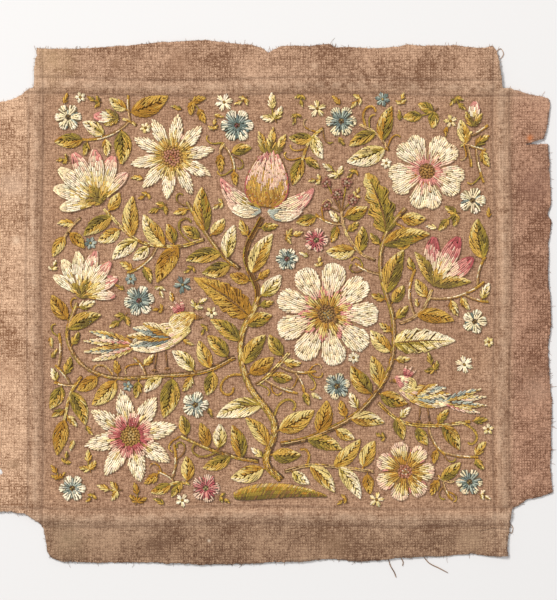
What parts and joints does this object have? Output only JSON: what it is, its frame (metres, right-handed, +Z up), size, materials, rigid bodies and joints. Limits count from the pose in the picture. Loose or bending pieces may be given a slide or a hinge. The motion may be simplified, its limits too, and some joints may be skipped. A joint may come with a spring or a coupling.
{
  "type": "crewel embroidery panel",
  "caption": "Linen panel with cut-out corners, raw edges and soft fold lines, covered with wool flowers, leaves, scrolling stems and birds in crewel stitches.",
  "frame": {"origin": "middle of the panel's bounding box, on the surface that it lies on", "axes": "+X across the panel to its right, +Y towards its top edge, +Z up off the surface, out of the worked face"},
  "size_m": [0.538, 0.5161, 0.0043],
  "materials": {
    "linen": "brown linen, plain weave, worn along the folds",
    "cream_wool": "matte two-ply wool, cream and gold",
    "pink_wool": "matte two-ply wool, pink and cream",
    "blue_wool": "matte two-ply wool, blue-grey",
    "leaf_wool": "matte two-ply wool, mustard, olive and brown"
  },
  "bodies": {
    "root": {"bird_left": "pink_wool", "bird_right": "pink_wool", "blossom_foot": "blue_wool", "blossom_high_right": "blue_wool", "blossom_inner": "blue_wool", "blossom_left": "blue_wool", "blossom_low_left": "blue_wool", "blossom_low_right": "blue_wool", "blossom_middle": "blue_wool", "blossom_near_star": "blue_wool", "blossom_right": "blue_wool", "blossom_small": "blue_wool", "blossom_top": "blue_wool", "blossom_top_left": "blue_wool", "blossom_top_right": "blue_wool", "bud_corner": "pink_wool", "bud_top": "pink_wool", "cup_flower": "pink_wool", "fan_flower_left": "cream_wool", "fan_flower_upper": "cream_wool", "flower_five": "cream_wool", "flower_round": "cream_wool", "flower_seven": "cream_wool", "flower_star": "cream_wool", "flower_wheel": "cream_wool", "fruit": "pink_wool", "ground_cloth": "linen", "loose_thread_curved": "linen", "loose_thread_long": "linen", "loose_thread_short": "linen", "mound": "leaf_wool", "stem_berries": "leaf_wool", "stem_bud": "leaf_wool", "stem_corner": "leaf_wool", "stem_cup": "leaf_wool", "stem_left": "leaf_wool", "stem_low_left": "leaf_wool", "stem_low_right": "leaf_wool", "stem_middle": "leaf_wool", "stem_perch": "leaf_wool", "stem_right": "leaf_wool", "stem_side": "leaf_wool", "stem_spray": "leaf_wool", "stem_sprig_edge": "leaf_wool", "stem_sprig_high": "leaf_wool", "stem_sprig_low": "leaf_wool", "stem_sprig_top": "leaf_wool", "stem_top": "leaf_wool", "stem_trunk": "leaf_wool", "stem_upper": "leaf_wool", "stem_upper_left": "leaf_wool"}
  },
  "joints": []
}
